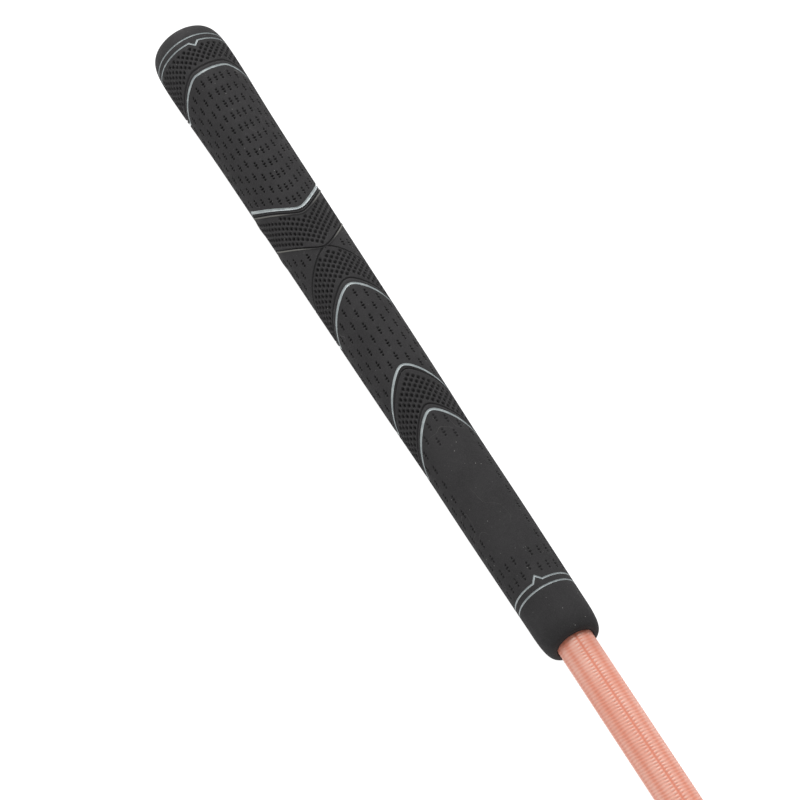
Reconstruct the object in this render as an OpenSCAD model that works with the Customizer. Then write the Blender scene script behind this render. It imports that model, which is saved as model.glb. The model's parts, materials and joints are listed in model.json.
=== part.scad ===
// Riding crop: a moulded rubber grip of the golf type on a thread-covered shaft,
// with a stitched leather keeper at the tip. The crop lies on its side, along X,
// with its butt at -X. It rests on the thick end of the grip and on the far edge
// of the keeper, so its axis slopes down a little towards the tip.

/* [Overall] */
// Length from the butt face to the end of the keeper
crop_len = 650; // [600:5:670]
// Slope of the axis while the crop lies on a flat surface, in degrees
lean = 0.6; // [0.4:0.05:0.6]

/* [Grip] */
// Length of the moulded sleeve
grip_len = 268; // [260:1:275]
// Largest diameter, a little in from the butt
belly_d = 25.9; // [25:0.1:27]
// Distance of the largest diameter from the butt face
belly_x = 15; // [12:1:18]
// Diameter at the mouth, before its edge rounds over
mouth_d = 19.2; // [18.6:0.1:20]
// Diameter of the flat face at the butt
butt_face_d = 18; // [16:0.5:20]
// Diameter of the flat lip at the mouth
lip_d = 13.6; // [13.4:0.1:15]
// Thickness of the closed butt end
cap_t = 4; // [3:0.5:5]
// Diameter of the breather hole in the butt end
vent_d = 3; // [2:0.1:4]
// Depth of the paint-filled lines
line_depth = 0.3; // [0.2:0.05:0.4]
// Width of the painted rings
ring_w = 0.9; // [0.5:0.05:1.2]
// Width of the painted arches
arch_w = 1.1; // [0.6:0.05:1.4]
// Width of the painted chevron
chevron_w = 1.4; // [0.8:0.05:1.6]
// Turn of the pattern at the butt, from straight up towards -Y, in degrees
roll_butt = 2.3; // [-10:0.1:10]
// Turn of the pattern at 160 mm, from where it turns faster
roll_middle = 5.8; // [-10:0.1:14]
// Turn of the pattern at the mouth
roll_mouth = 16.7; // [0:0.1:20]

/* [Handle build-up] */
// Length of the tapered tube that fills the sleeve around the shaft
tube_len = 190; // [150:5:220]
// Outer diameter of the tube at the butt
tube_d = 14.6; // [13.6:0.1:15]
// Outer diameter of the tube at its thin end
tube_end_d = 12.7; // [12.6:0.1:13.3]
// Thickness of the double-sided grip tape
tape_t = 0.3; // [0.2:0.05:0.4]

/* [Shaft] */
// Diameter over the thread cover, where it leaves the grip
shaft_d = 11.9; // [11.3:0.1:12.1]
// Diameter over the thread cover at the tip
tip_d = 7.8; // [7:0.1:9]
// Distance from the butt at which the shaft starts to taper
taper_x = 330; // [300:5:400]
// Thickness of the thread cover
cover_t = 0.6; // [0.4:0.1:0.8]
// Diameter of the glass-fibre rod at the butt
rod_d = 8; // [7:0.1:8.6]
// Diameter of the rod at the tip
rod_tip_d = 5.6; // [4.6:0.1:5.8]

/* [Keeper] */
// Length of the moving flap, from its bend line to its end
flap_len = 54; // [45:1:70]
// Width of the flap at its far end
flap_w = 36; // [28:1:42]
// Width of the neck that bends
neck_w = 11; // [9:0.5:13]
// Thickness of each leather leaf
leaf_t = 2; // [1.6:0.1:2.4]
// Thickness of the stiffener between the leaves
filler_t = 1.6; // [1:0.1:2]
// Radius of the flap's corners
corner_r = 9; // [6:1:12]
// Gap between the shaft's end and the bending neck
bend_gap = 0.4; // [0.3:0.1:0.8]
// Length of the leather tongues that are bound to the shaft
tongue_len = 30; // [24:1:40]
// Thickness of the tongues
tongue_t = 1.8; // [1.4:0.1:2]
// Diameter of the binding thread
whip_d = 1.1; // [0.8:0.1:1.4]
// Number of turns of the binding thread
whip_turns = 20; // [12:1:24]

/* [Stitching] */
// Diameter of the sewing thread
thread_d = 0.7; // [0.5:0.1:0.9]
// Distance of the seam from the flap's edge
seam_inset = 3; // [2.5:0.5:4]
// Distance between stitches
stitch_pitch = 3.2; // [3:0.1:4]
// Length of the thread that shows in each stitch
stitch_len = 2.2; // [1.8:0.1:2.4]

/* [Hidden] */
belly_r = belly_d / 2;
mouth_r = mouth_d / 2;
lip_r = lip_d / 2;
shaft_r = shaft_d / 2;
tip_r = tip_d / 2;
bore_r = shaft_r + tape_t;
tube_end_x = cap_t + tube_len;
mouth_round = 11;
belly_swell = 0.56;
swell_len = 22;
waist = 0.2;
waist_x = 191;
waist_len = 20;
hinge_x = crop_len - flap_len;
keeper_t = 2 * leaf_t + filler_t;
shaft_end = hinge_x - keeper_t / 2 - bend_gap;
tongue_x = shaft_end - tongue_len;
whip_r = tip_r + tongue_t;
roll_middle_x = 160;
overcut = 1;

// Outer radius of the grip's body: an even taper, a soft swell near the butt and a slight waist
function body_r(x) =
    mouth_r + (belly_r - belly_swell - mouth_r) * (grip_len - x) / (grip_len - belly_x)
    + belly_swell * exp(-pow((x - belly_x) / swell_len, 2))
    - waist * exp(-pow((x - waist_x) / waist_len, 2));

// Quarter of a superellipse: 0 at u = 0 and 1 at u = 1
function round_over(u, n) = pow(1 - pow(1 - u, n), 1 / n);

// Outer profile of the grip as [radius, distance from the butt]
butt_round = [for (u = [0, 0.02, 0.08, 0.2, 0.4, 0.7])
    [butt_face_d / 2 + (belly_r - butt_face_d / 2) * round_over(u, 3.5), u * belly_x]];
body_line = [for (x = [belly_x : 9 : grip_len - mouth_round - 1]) [body_r(x), x]];
mouth_round_over = [for (u = [1, 0.75, 0.5, 0.3, 0.15, 0.05, 0])
    [lip_r + (body_r(grip_len - mouth_round) - lip_r) * round_over(u, 2.1),
     grip_len - u * mouth_round]];
grip_line = concat(butt_round, body_line, mouth_round_over);

// Height of the butt's middle above the surface that the grip's thick end lies on
rest_z = max([for (p = grip_line) p[0] * cos(lean) + p[1] * sin(lean)]);

// Slope of the flap, which lets its far lower edge touch the same surface
bend_z = rest_z - hinge_x * sin(lean);
flap_slope = asin(bend_z / norm([flap_len, keeper_t / 2])) - atan2(keeper_t / 2, flap_len);

// Middle of the crop's length as it lies
butt_end = min([for (p = grip_line) p[1] * cos(lean) - p[0] * sin(lean)]);
tip_end = hinge_x * cos(lean) + flap_len * cos(flap_slope) + keeper_t / 2 * sin(flap_slope);
mid_x = (butt_end + tip_end) / 2;

// Lays what is built along the crop's own axis on the surface z = 0
module lie_down() {
    translate([-mid_x, 0, rest_z]) rotate([0, lean, 0]) children();
}

// Turns a profile of [radius, distance from the butt] about the crop's axis
module turned(profile) {
    rotate([0, 90, 0]) rotate_extrude($fn = 96) polygon(profile);
}

// Surface layer of the grip between two distances from the butt
module grip_layer(from_x, to_x, inner, outer) {
    steps = 8;
    xs = [for (i = [0 : steps]) from_x + (to_x - from_x) * i / steps];
    turned(concat(
        [for (x = xs) [line_r(x) - inner, x]],
        [for (i = [steps : -1 : 0]) [line_r(xs[i]) + outer, xs[i]]]
    ));
}

// Radius of the grip's outer profile at any distance from the butt
function line_r(x) = lookup(x, [for (p = grip_line) [p[1], p[0]]]);

// Turn of the pattern about the axis at a distance from the butt
function roll_at(x) =
    x < roll_middle_x
    ? roll_butt + (roll_middle - roll_butt) * x / roll_middle_x
    : roll_middle + (roll_mouth - roll_middle) * (x - roll_middle_x) / (grip_len - roll_middle_x);

// Angle from a line's apex at which its arms are, past the flat part between them
function arm_angle(flat, a) = max(abs(a) - flat, 0);

// Distance along the axis that a line has gained at an angle from its apex; its arms
// have an even slope in mm per degree, and soft is how far round the apex is rounded
function wave_x(slope, soft, flat, a) =
    slope * (sqrt(pow(arm_angle(flat, a), 2) + soft * soft) - soft);

// Widening of a line along the axis, so that it keeps its width where it slopes
function wave_w(width, slope, soft, flat, a, r) =
    let (arm = arm_angle(flat, a), rise = slope * arm / norm([arm, soft]) * 180 / PI / r)
    width * sqrt(1 + rise * rise);

// Solid that cuts a curved line right through the grip, on both its faces
module wave_cut(apex_x, slope, soft, flat, width) {
    r = line_r(apex_x);
    angles = [-90 : 6 : 90];
    near = [for (a = angles) [
        apex_x + wave_x(slope, soft, flat, a) - wave_w(width, slope, soft, flat, a, r) / 2,
        (r + 0.5) * sin(a)]];
    far = [for (a = angles) [
        apex_x + wave_x(slope, soft, flat, a) + wave_w(width, slope, soft, flat, a, r) / 2,
        -(r + 0.5) * sin(a)]];
    rotate([roll_at(apex_x), 0, 0])
        linear_extrude(2 * belly_d, center = true) polygon(concat(near, far));
}

// A curved line on the grip: a layer of its surface inside the cut
module wave_line(apex_x, slope, soft, flat, width, outer = 0) {
    reach = wave_x(slope, soft, flat, 90);
    low = min(apex_x, apex_x + reach) - 2 * width;
    high = max(apex_x, apex_x + reach) + 2 * width;
    intersection() {
        grip_layer(low, high, line_depth, outer);
        wave_cut(apex_x, slope, soft, flat, width);
    }
}

// A ring round the grip, with a small V in it on both faces
module notched_line(ring_x, notch, outer = 0) {
    half = 1.7;
    side = belly_r + 1;
    low = ring_x - abs(notch) - ring_w;
    high = ring_x + abs(notch) + ring_w;
    intersection() {
        grip_layer(low, high, line_depth, outer);
        rotate([roll_at(ring_x), 0, 0]) linear_extrude(2 * belly_d, center = true) polygon([
            [ring_x - ring_w / 2, -side], [ring_x - ring_w / 2, -half],
            [ring_x + notch - ring_w / 2, 0], [ring_x - ring_w / 2, half],
            [ring_x - ring_w / 2, side], [ring_x + ring_w / 2, side],
            [ring_x + ring_w / 2, half], [ring_x + notch + ring_w / 2, 0],
            [ring_x + ring_w / 2, -half], [ring_x + ring_w / 2, -side]
        ]);
    }
}

// A plain ring round the grip
module plain_line(ring_x, outer = 0) {
    r = line_r(ring_x);
    turned([[r - line_depth, ring_x - ring_w / 2], [r + outer, ring_x - ring_w / 2],
            [r + outer, ring_x + ring_w / 2], [r - line_depth, ring_x + ring_w / 2]]);
}

// The painted lines in order from the butt; outer lifts them to cut their grooves
module ring_1(outer = 0) plain_line(6.4, outer);
module ring_2(outer = 0) notched_line(9, 1.8, outer);
module arch_1(outer = 0) wave_line(22.2, 0.145, 8, 24, arch_w, outer);
module chevron(outer = 0) wave_line(88.9, -0.185, 14, 0, chevron_w, outer);
module arch_2(outer = 0) wave_line(124.2, 0.168, 12, 0, arch_w, outer);
module arch_3(outer = 0) wave_line(160.1, 0.198, 12, 0, arch_w, outer);
module arch_4(outer = 0) wave_line(179.1, 0.198, 12, 0, arch_w, outer);
module ring_3(outer = 0) notched_line(248.9, -2, outer);
module ring_4(outer = 0) plain_line(251.4, outer);

// Moulded rubber sleeve, closed at the butt but for its breather hole
module grip_sleeve() {
    bore = [
        [bore_r + 0.2, grip_len], [bore_r, grip_len - 0.2], [bore_r, tube_end_x],
        [tube_end_d / 2 + tape_t, tube_end_x], [tube_d / 2 + tape_t, cap_t],
        [vent_d / 2, cap_t], [vent_d / 2, 0]
    ];
    color("#332f31") lie_down() difference() {
        turned(concat(grip_line, bore));
        ring_1(overcut);
        ring_2(overcut);
        arch_1(overcut);
        chevron(overcut);
        arch_2(overcut);
        arch_3(overcut);
        arch_4(overcut);
        ring_3(overcut);
        ring_4(overcut);
    }
}

module plain_ring_butt() color("silver") lie_down() ring_1();
module notched_ring_butt() color("silver") lie_down() ring_2();
module arch_line_butt() color("silver") lie_down() arch_1();
module chevron_line() color("silver") lie_down() chevron();
module arch_line_upper() color("silver") lie_down() arch_2();
module arch_line_lower() color("silver") lie_down() arch_3();
module arch_line_mouth() color("silver") lie_down() arch_4();
module notched_ring_mouth() color("silver") lie_down() ring_3();
module plain_ring_mouth() color("silver") lie_down() ring_4();

// Double-sided tape between the sleeve and what it sits on
module grip_tape() {
    color("khaki") lie_down() turned([
        [tube_d / 2 + tape_t, cap_t], [tube_end_d / 2 + tape_t, tube_end_x],
        [bore_r, tube_end_x], [bore_r, grip_len - 3], [shaft_r, grip_len - 3],
        [shaft_r, tube_end_x], [tube_end_d / 2, tube_end_x], [tube_d / 2, cap_t]
    ]);
}

// Tapered tube that brings the shaft up to the sleeve's bore
module handle_tube() {
    color("dimgray") lie_down() turned([
        [tube_d / 2, cap_t], [tube_end_d / 2, tube_end_x],
        [shaft_r, tube_end_x], [shaft_r, cap_t]
    ]);
}

// Glass-fibre rod, straight in the handle and tapered towards the tip
module core_rod() {
    color("ivory") lie_down() turned([
        [0, cap_t], [rod_d / 2, cap_t], [rod_d / 2, taper_x], [rod_tip_d / 2, tongue_x],
        [rod_tip_d / 2, shaft_end], [0, shaft_end]
    ]);
}

// Wrapping that rounds the rod out to the size of its cover
module shaft_padding() {
    color("gainsboro") lie_down() turned([
        [rod_d / 2, cap_t], [shaft_r - cover_t, cap_t], [shaft_r - cover_t, taper_x],
        [tip_r - cover_t, tongue_x], [tip_r - cover_t, shaft_end],
        [rod_tip_d / 2, shaft_end], [rod_tip_d / 2, tongue_x], [rod_d / 2, taper_x]
    ]);
}

// Coral thread cover over the whole shaft
module thread_cover() {
    color("lightcoral") lie_down() turned([
        [shaft_r - cover_t, cap_t], [shaft_r, cap_t], [shaft_r, taper_x],
        [tip_r, tongue_x], [tip_r, shaft_end], [tip_r - cover_t, shaft_end],
        [tip_r - cover_t, tongue_x], [shaft_r - cover_t, taper_x]
    ]);
}

// Half of the leather that wraps the shaft's end; side is 1 above and -1 below
module tongue(side) {
    intersection() {
        turned([[tip_r, tongue_x], [whip_r, tongue_x], [whip_r, shaft_end], [tip_r, shaft_end]]);
        translate([tongue_x - 1, -whip_r - 1, side > 0 ? 0 : -whip_r - 1])
            cube([tongue_len + 2, 2 * whip_r + 2, whip_r + 1]);
    }
}

module upper_tongue() color("#262324") lie_down() tongue(1);
module lower_tongue() color("#262324") lie_down() tongue(-1);

// Thread wound round the tongues, one ridge for each turn
module keeper_binding() {
    start = tongue_x + (tongue_len - whip_turns * whip_d) / 2;
    ridges = [for (i = [0 : whip_turns - 1]) for (a = [20 : 35 : 160])
        [whip_r + whip_d * (0.35 + 0.5 * sin(a)), start + whip_d * (i + 0.5 - 0.5 * cos(a))]];
    color("lightcoral") lie_down() turned(concat(
        ridges, [[whip_r, start + whip_turns * whip_d], [whip_r, start]]
    ));
}

// Half width of the flap at a distance from its bend line
function flap_half(u) =
    let (s = min(max((u - 7) / 15, 0), 1))
    neck_w / 2 + (flap_w / 2 - 1 - neck_w / 2) * s * s * (3 - 2 * s) + min(u / 40, 1);

// Edge of the flap on its +Y side, moved in by an inset, from the bend line to the end
function flap_edge(inset) = concat(
    [[0, neck_w / 2 - inset]],
    [for (u = [7 : 2.5 : 22]) [u, flap_half(u) - inset]],
    [[flap_len - corner_r, flap_w / 2 - inset]],
    [for (a = [15 : 15 : 75]) flap_corner(inset, a)],
    [[flap_len - inset, flap_w / 2 - corner_r]]
);

// A point on the flap's corner arc, at an angle from its side
function flap_corner(inset, a) = [
    flap_len - corner_r + (corner_r - inset) * sin(a),
    flap_w / 2 - corner_r + (corner_r - inset) * cos(a)
];

// Places what is built from the bend line outwards at the flap's resting angle
module at_bend() {
    translate([hinge_x, 0, 0]) rotate([0, flap_slope - lean, 0]) children();
}

// One layer of the flap between two heights, its end rounded about the bend line
module flap_layer(low, high) {
    edge = flap_edge(0);
    mirrored = [for (i = [len(edge) - 1 : -1 : 0]) [edge[i][0], -edge[i][1]]];
    intersection() {
        union() {
            translate([0, 0, -keeper_t / 2])
                linear_extrude(keeper_t) polygon(concat(edge, mirrored));
            translate([0, -neck_w / 2, 0])
                rotate([-90, 0, 0]) cylinder(h = neck_w, d = keeper_t, $fn = 48);
        }
        translate([-keeper_t, -flap_w, low]) cube([flap_len + 2 * keeper_t, 2 * flap_w, high - low]);
    }
}

// One stitch along X: thread sunk into both faces and down two holes
module stitch() {
    proud = 0.1;
    reach = (keeper_t - thread_d) / 2 + proud;
    for (z = [-reach, reach])
        translate([-stitch_len / 2, 0, z])
            rotate([0, 90, 0]) cylinder(h = stitch_len, d = thread_d, $fn = 24);
    for (x = [-stitch_len / 2, stitch_len / 2])
        translate([x, 0, -keeper_t / 2]) cylinder(h = keeper_t, d = thread_d, $fn = 24);
}

// The seam that follows the flap's sides, corners and end
module stitches() {
    side_y = flap_w / 2 - seam_inset;
    arc_r = corner_r - seam_inset;
    for (m = [-1, 1]) {
        for (u = [24 : stitch_pitch : flap_len - corner_r - stitch_len / 2])
            translate([u, m * (flap_half(u) - seam_inset), 0]) stitch();
        for (a = [20, 70])
            translate([flap_len - corner_r + arc_r * sin(a), m * (side_y - arc_r + arc_r * cos(a)), 0])
                rotate([0, 0, -m * a]) stitch();
        for (v = [stitch_pitch / 2 : stitch_pitch : side_y - arc_r - 0.5])
            translate([flap_len - seam_inset, m * v, 0]) rotate([0, 0, 90]) stitch();
    }
}

module keeper_upper_leaf() {
    color("#262324") lie_down() at_bend() difference() {
        flap_layer(filler_t / 2, keeper_t / 2);
        stitches();
    }
}

module keeper_lower_leaf() {
    color("#262324") lie_down() at_bend() difference() {
        flap_layer(-keeper_t / 2, -filler_t / 2);
        stitches();
    }
}

module keeper_stiffener() {
    color("saddlebrown") lie_down() at_bend() difference() {
        flap_layer(-filler_t / 2, filler_t / 2);
        stitches();
    }
}

module keeper_stitching() color("lightcoral") lie_down() at_bend() stitches();

grip_sleeve();
plain_ring_butt();
notched_ring_butt();
arch_line_butt();
chevron_line();
arch_line_upper();
arch_line_lower();
arch_line_mouth();
notched_ring_mouth();
plain_ring_mouth();
grip_tape();
handle_tube();
core_rod();
shaft_padding();
thread_cover();
upper_tongue();
lower_tongue();
keeper_binding();
keeper_upper_leaf();
keeper_lower_leaf();
keeper_stiffener();
keeper_stitching();
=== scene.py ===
"""Looks of the riding crop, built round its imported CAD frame.

A point of the crop is given by its distance from the butt along the axis (mm), its turn about
the axis from straight up towards -Y (degrees) and its radius (mm). place() turns these into
metres in the frame that the CAD, the joints and this scene share.
"""

import json
import math

import bpy
import numpy as np
from mathutils import Matrix


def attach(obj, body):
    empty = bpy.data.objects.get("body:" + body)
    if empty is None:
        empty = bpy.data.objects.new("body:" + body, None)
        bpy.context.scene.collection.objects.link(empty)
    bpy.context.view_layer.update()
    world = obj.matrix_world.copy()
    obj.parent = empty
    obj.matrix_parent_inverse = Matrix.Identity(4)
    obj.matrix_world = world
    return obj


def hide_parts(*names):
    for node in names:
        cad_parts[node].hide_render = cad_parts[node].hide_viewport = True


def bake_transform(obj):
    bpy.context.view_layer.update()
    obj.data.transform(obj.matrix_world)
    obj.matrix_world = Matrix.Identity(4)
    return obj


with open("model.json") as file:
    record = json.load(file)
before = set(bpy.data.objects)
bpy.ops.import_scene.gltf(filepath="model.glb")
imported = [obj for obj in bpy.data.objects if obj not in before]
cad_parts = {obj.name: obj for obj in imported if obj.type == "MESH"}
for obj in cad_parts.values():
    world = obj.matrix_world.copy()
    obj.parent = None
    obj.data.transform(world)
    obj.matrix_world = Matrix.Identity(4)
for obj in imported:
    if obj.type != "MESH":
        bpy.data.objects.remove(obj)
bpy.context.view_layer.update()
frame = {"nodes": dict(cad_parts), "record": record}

MM = 0.001

# Driving sizes in mm. They are the CAD's, but the painted lines are finer, and the grip's mouth
# is slightly longer and rounder.

# Grip: length, thickest place with its swell, slight waist, mouth, butt and bore
GRIP_LEN = 268.4
BELLY_X, BELLY_R, BELLY_SWELL, SWELL_LEN = 15, 12.95, 0.56, 22
WAIST, WAIST_X, WAIST_LEN = 0.2, 191, 20
MOUTH_R, MOUTH_ROUND, LIP_R = 9.55, 12, 6.75
BUTT_FACE_R, CAP_T, VENT_R = 9, 4, 1.5
BUTT_POWER, MOUTH_POWER = 3.5, 3
BORE_R, TUBE_BORE_R, TUBE_BORE_END_R, TUBE_END_X = 6.25, 7.6, 6.65, 194

# Painted lines
LINE_DEPTH = 0.42
RING_W, ARCH_W, CHEVRON_W = 0.6, 0.85, 0.9

# Covered shaft, with the start of its taper
SHAFT_R, TIP_R, TAPER_X, COVER_T = 5.95, 3.9, 330, 0.6
SHAFT_END = 592.8

# Keeper: bend line, bound tongues, binding thread, flap, leather and seam
BEND_X = 596
TONGUE_X = 562.8
WHIP_R, WHIP_D, WHIP_TURNS = 5.7, 1.1, 20
FLAP_LEN, FLAP_W, NECK_W, CORNER_R = 54, 36, 11, 9
LEAF_T, FILLER_T = 2, 1.6
SEAM_INSET, STITCH_PITCH, STITCH_LEN, THREAD_D = 3, 3.2, 2.2, 0.7
TONGUE_TO_END = BEND_X - TONGUE_X + FLAP_LEN

# Turn of the grip's pattern: it grows slowly up to the middle, and then faster
ROLL_BUTT, ROLL_MIDDLE, ROLL_MOUTH, ROLL_MIDDLE_X = 2.3, 5.8, 16.7, 160


# ---------------------------------------------------------------- the crop's own frame


def crop_axes():
    """The butt's middle in metres, and the directions along, across and up from the crop."""
    record = frame["record"]
    butt_face = next(m for m in record["mounts"] if m["name"] == "butt_face")
    along = -np.array(butt_face["axis"], float)
    along /= np.linalg.norm(along)
    bend = np.array(record["behaviour"]["joints"][0]["pos_m"], float)
    across = np.array((0.0, 1.0, 0.0))
    return bend - BEND_X * MM * along, along, across, np.cross(along, across)


BUTT, ALONG, ACROSS, UP = crop_axes()
BEND = BUTT + BEND_X * MM * ALONG


def place(x, turn, radius):
    """Points at x along the crop, at a turn about its axis and at a radius from it."""
    x, turn, radius = np.broadcast_arrays(
        *(np.asarray(v, float) for v in (x, turn, radius))
    )
    angle = np.radians(turn)
    return BUTT + MM * (
        x[..., None] * ALONG
        - (radius * np.sin(angle))[..., None] * ACROSS
        + (radius * np.cos(angle))[..., None] * UP
    )


def smoothstep(v):
    """0 below 0, 1 above 1, and a soft rise between them."""
    v = np.clip(v, 0, 1)
    return v * v * (3 - 2 * v)


# ---------------------------------------------------------------- mesh helpers


def quads(rows, columns, wrap_rows=False, wrap_columns=False):
    """Corner indices of the faces of a grid of points."""
    i = np.arange(rows if wrap_rows else rows - 1)[:, None]
    j = np.arange(columns if wrap_columns else columns - 1)[None, :]
    i2, j2 = (i + 1) % rows, (j + 1) % columns
    corners = (
        i * columns + j,
        i * columns + j2,
        i2 * columns + j2,
        i2 * columns + j,
    )
    return np.stack(corners, -1).reshape(-1, 4)


def new_piece(name, points, faces, values=None, sharp=None):
    """A mesh object of quads and n-gons. values are numbers kept at its points, by name."""
    points = np.asarray(points, float).reshape(-1, 3)
    mesh = bpy.data.meshes.new(name)
    sizes = np.array([len(f) for f in faces])
    mesh.vertices.add(len(points))
    mesh.vertices.foreach_set("co", points.astype(np.float32).ravel())
    mesh.loops.add(int(sizes.sum()))
    same_size = sizes.min() == sizes.max()
    corners = np.asarray(faces).ravel() if same_size else np.concatenate(faces)
    mesh.loops.foreach_set("vertex_index", corners.astype(np.int32))
    mesh.polygons.add(len(sizes))
    starts = np.cumsum(sizes) - sizes
    mesh.polygons.foreach_set("loop_start", starts.astype(np.int32))
    mesh.polygons.foreach_set("use_smooth", np.ones(len(sizes), bool))
    mesh.update(calc_edges=True)
    for key, numbers in (values or {}).items():
        made = mesh.attributes.new(key, "FLOAT", "POINT")
        made.data.foreach_set("value", np.asarray(numbers, np.float32).ravel())
    mesh.validate()
    if signed_volume(mesh) < 0:
        mesh.flip_normals()
    if sharp:
        mesh.set_sharp_from_angle(angle=math.radians(sharp))
    piece = bpy.data.objects.new(name, mesh)
    bpy.context.scene.collection.objects.link(piece)
    return piece


def signed_volume(mesh):
    """Six times the volume inside a closed mesh, below zero if its faces look inwards."""
    mesh.calc_loop_triangles()
    corners = np.empty(len(mesh.loop_triangles) * 3, np.int32)
    mesh.loop_triangles.foreach_get("vertices", corners)
    spots = np.empty(len(mesh.vertices) * 3, np.float32)
    mesh.vertices.foreach_get("co", spots)
    a, b, c = spots.reshape(-1, 3)[corners.reshape(-1, 3)].transpose(1, 0, 2)
    return float((a * np.cross(b, c)).sum())


def finish_piece(piece, material, body=None, nodes=()):
    """Gives a piece its material, its body and the nodes it stands for."""
    piece.data.materials.append(material)
    if nodes:
        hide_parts(*nodes)
    if body:
        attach(piece, body)


# ---------------------------------------------------------------- materials


class Shader:
    """A material with one Principled shader, and short ways to feed its sockets."""

    def __init__(self, name, **sockets):
        self.material = bpy.data.materials.new(name)
        self.material.use_nodes = True
        self.nodes = self.material.node_tree.nodes
        self.links = self.material.node_tree.links
        self.shader = self.nodes["Principled BSDF"]
        for key, value in sockets.items():
            self.shader.inputs[key.replace("_", " ")].default_value = value

    def node(self, kind, inputs=None, **settings):
        """A new node, with its inputs linked to sockets or set to values."""
        made = self.nodes.new(kind)
        for key, value in settings.items():
            setattr(made, key, value)
        for key, value in (inputs or {}).items():
            if isinstance(value, bpy.types.NodeSocket):
                self.links.new(value, made.inputs[key])
            else:
                made.inputs[key].default_value = value
        return made

    def feed(self, socket, output):
        """Links an output to one of the shader's sockets."""
        self.links.new(output, self.shader.inputs[socket])

    def spot(self, stretch=(1, 1, 1)):
        """Object coordinates in metres, stretched along each axis."""
        here = self.node("ShaderNodeTexCoord").outputs["Object"]
        return self.node("ShaderNodeMapping", {"Vector": here, "Scale": stretch}).outputs[0]

    def noise(self, size, detail=3, rough=0.5, stretch=(1, 1, 1)):
        """Noise whose blotches are about size millimetres across."""
        return self.node(
            "ShaderNodeTexNoise",
            {
                "Vector": self.spot(stretch),
                "Scale": 1 / (size * MM),
                "Detail": detail,
                "Roughness": rough,
            },
        ).outputs["Fac"]

    def cells(self, size, feature="F1"):
        """Voronoi cells about size millimetres across."""
        return self.node(
            "ShaderNodeTexVoronoi",
            {"Vector": self.spot(), "Scale": 1 / (size * MM)},
            feature=feature,
        ).outputs["Distance"]

    def value(self, name):
        """A number kept at the mesh's points."""
        return self.node("ShaderNodeAttribute", attribute_name=name).outputs["Fac"]

    def between(self, source, low, high, to_low=0.0, to_high=1.0):
        """Maps low..high of the source to to_low..to_high, and no further."""
        inputs = {
            "Value": source,
            "From Min": low,
            "From Max": high,
            "To Min": to_low,
            "To Max": to_high,
        }
        return self.node("ShaderNodeMapRange", inputs).outputs[0]

    def math(self, operation, a, b=0):
        """Sum, product and the like of two numbers or sockets."""
        return self.node("ShaderNodeMath", {0: a, 1: b}, operation=operation).outputs[0]

    def blend(self, factor, a, b):
        """Colour a where the factor is 0, and b where it is 1."""
        made = self.node("ShaderNodeMix", data_type="RGBA")
        for socket, value in (
            (made.inputs[0], factor),
            (made.inputs[6], a),
            (made.inputs[7], b),
        ):
            if isinstance(value, bpy.types.NodeSocket):
                self.links.new(value, socket)
            else:
                socket.default_value = value
        return made.outputs[2]

    def bump(self, height, depth, strength=1.0, over=None):
        """Bump whose full height is depth millimetres, laid over another bump."""
        inputs = {"Height": height, "Distance": depth * MM, "Strength": strength}
        if over is not None:
            inputs["Normal"] = over
        return self.node("ShaderNodeBump", inputs).outputs[0]


def rgb(red, green, blue):
    """An opaque colour from its linear parts."""
    return (red, green, blue, 1.0)


def rubber_material():
    """Matt black rubber: fine grain, blotches, dust, hairs, painted shade in hollows, painted edge
    highlights.
    """
    s = Shader("grip_rubber_look", Roughness=0.75, Specular_IOR_Level=0.1)
    blotch = s.between(s.noise(9, 4), 0.35, 0.7)
    base = s.blend(blotch, rgb(0.031, 0.0302, 0.031), rgb(0.038, 0.037, 0.038))
    grain = s.noise(0.28, 4, 0.65)
    base = s.blend(s.between(grain, 0.42, 0.72, 0, 0.6), base, rgb(0.062, 0.06, 0.062))
    # Painted shade in the pits and grooves
    base = s.blend(s.value("dark"), base, rgb(0.004, 0.0035, 0.004))
    # Painted highlight: paler colour on the raised edges
    base = s.blend(s.value("lit_edge"), base, rgb(0.15, 0.147, 0.138))
    specks = s.between(s.cells(2.3), 0.05, 0.08, 1, 0)
    chosen = s.between(s.noise(4.5, 1), 0.53, 0.57)
    dust = s.math("MULTIPLY", specks, chosen)
    fine_specks = s.between(s.cells(1.3), 0.06, 0.1, 0.6, 0)
    fine_chosen = s.between(s.noise(7, 2), 0.5, 0.62)
    dust = s.math("MAXIMUM", dust, s.math("MULTIPLY", fine_specks, fine_chosen))
    # A hair lies where smooth noise crosses its middle value
    from_middle = s.math("ABSOLUTE", s.math("SUBTRACT", s.noise(13, 1.5), 0.5))
    hair_line = s.between(from_middle, 0, 0.0022, 1, 0)
    hair_place = s.between(s.noise(19, 0), 0.6, 0.66, 0, 0.3)
    marks = s.math("MAXIMUM", dust, s.math("MULTIPLY", hair_line, hair_place))
    base = s.blend(s.between(marks, 0, 1, 0, 0.55), base, rgb(0.36, 0.35, 0.34))
    s.feed("Base Color", base)
    s.feed("Roughness", s.between(s.noise(1.6, 3), 0.3, 0.7, 0.7, 0.85))
    fine = s.bump(grain, 0.035, 0.6)
    s.feed("Normal", s.bump(s.noise(1.1, 2), 0.03, 0.5, fine))
    return s.material


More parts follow.
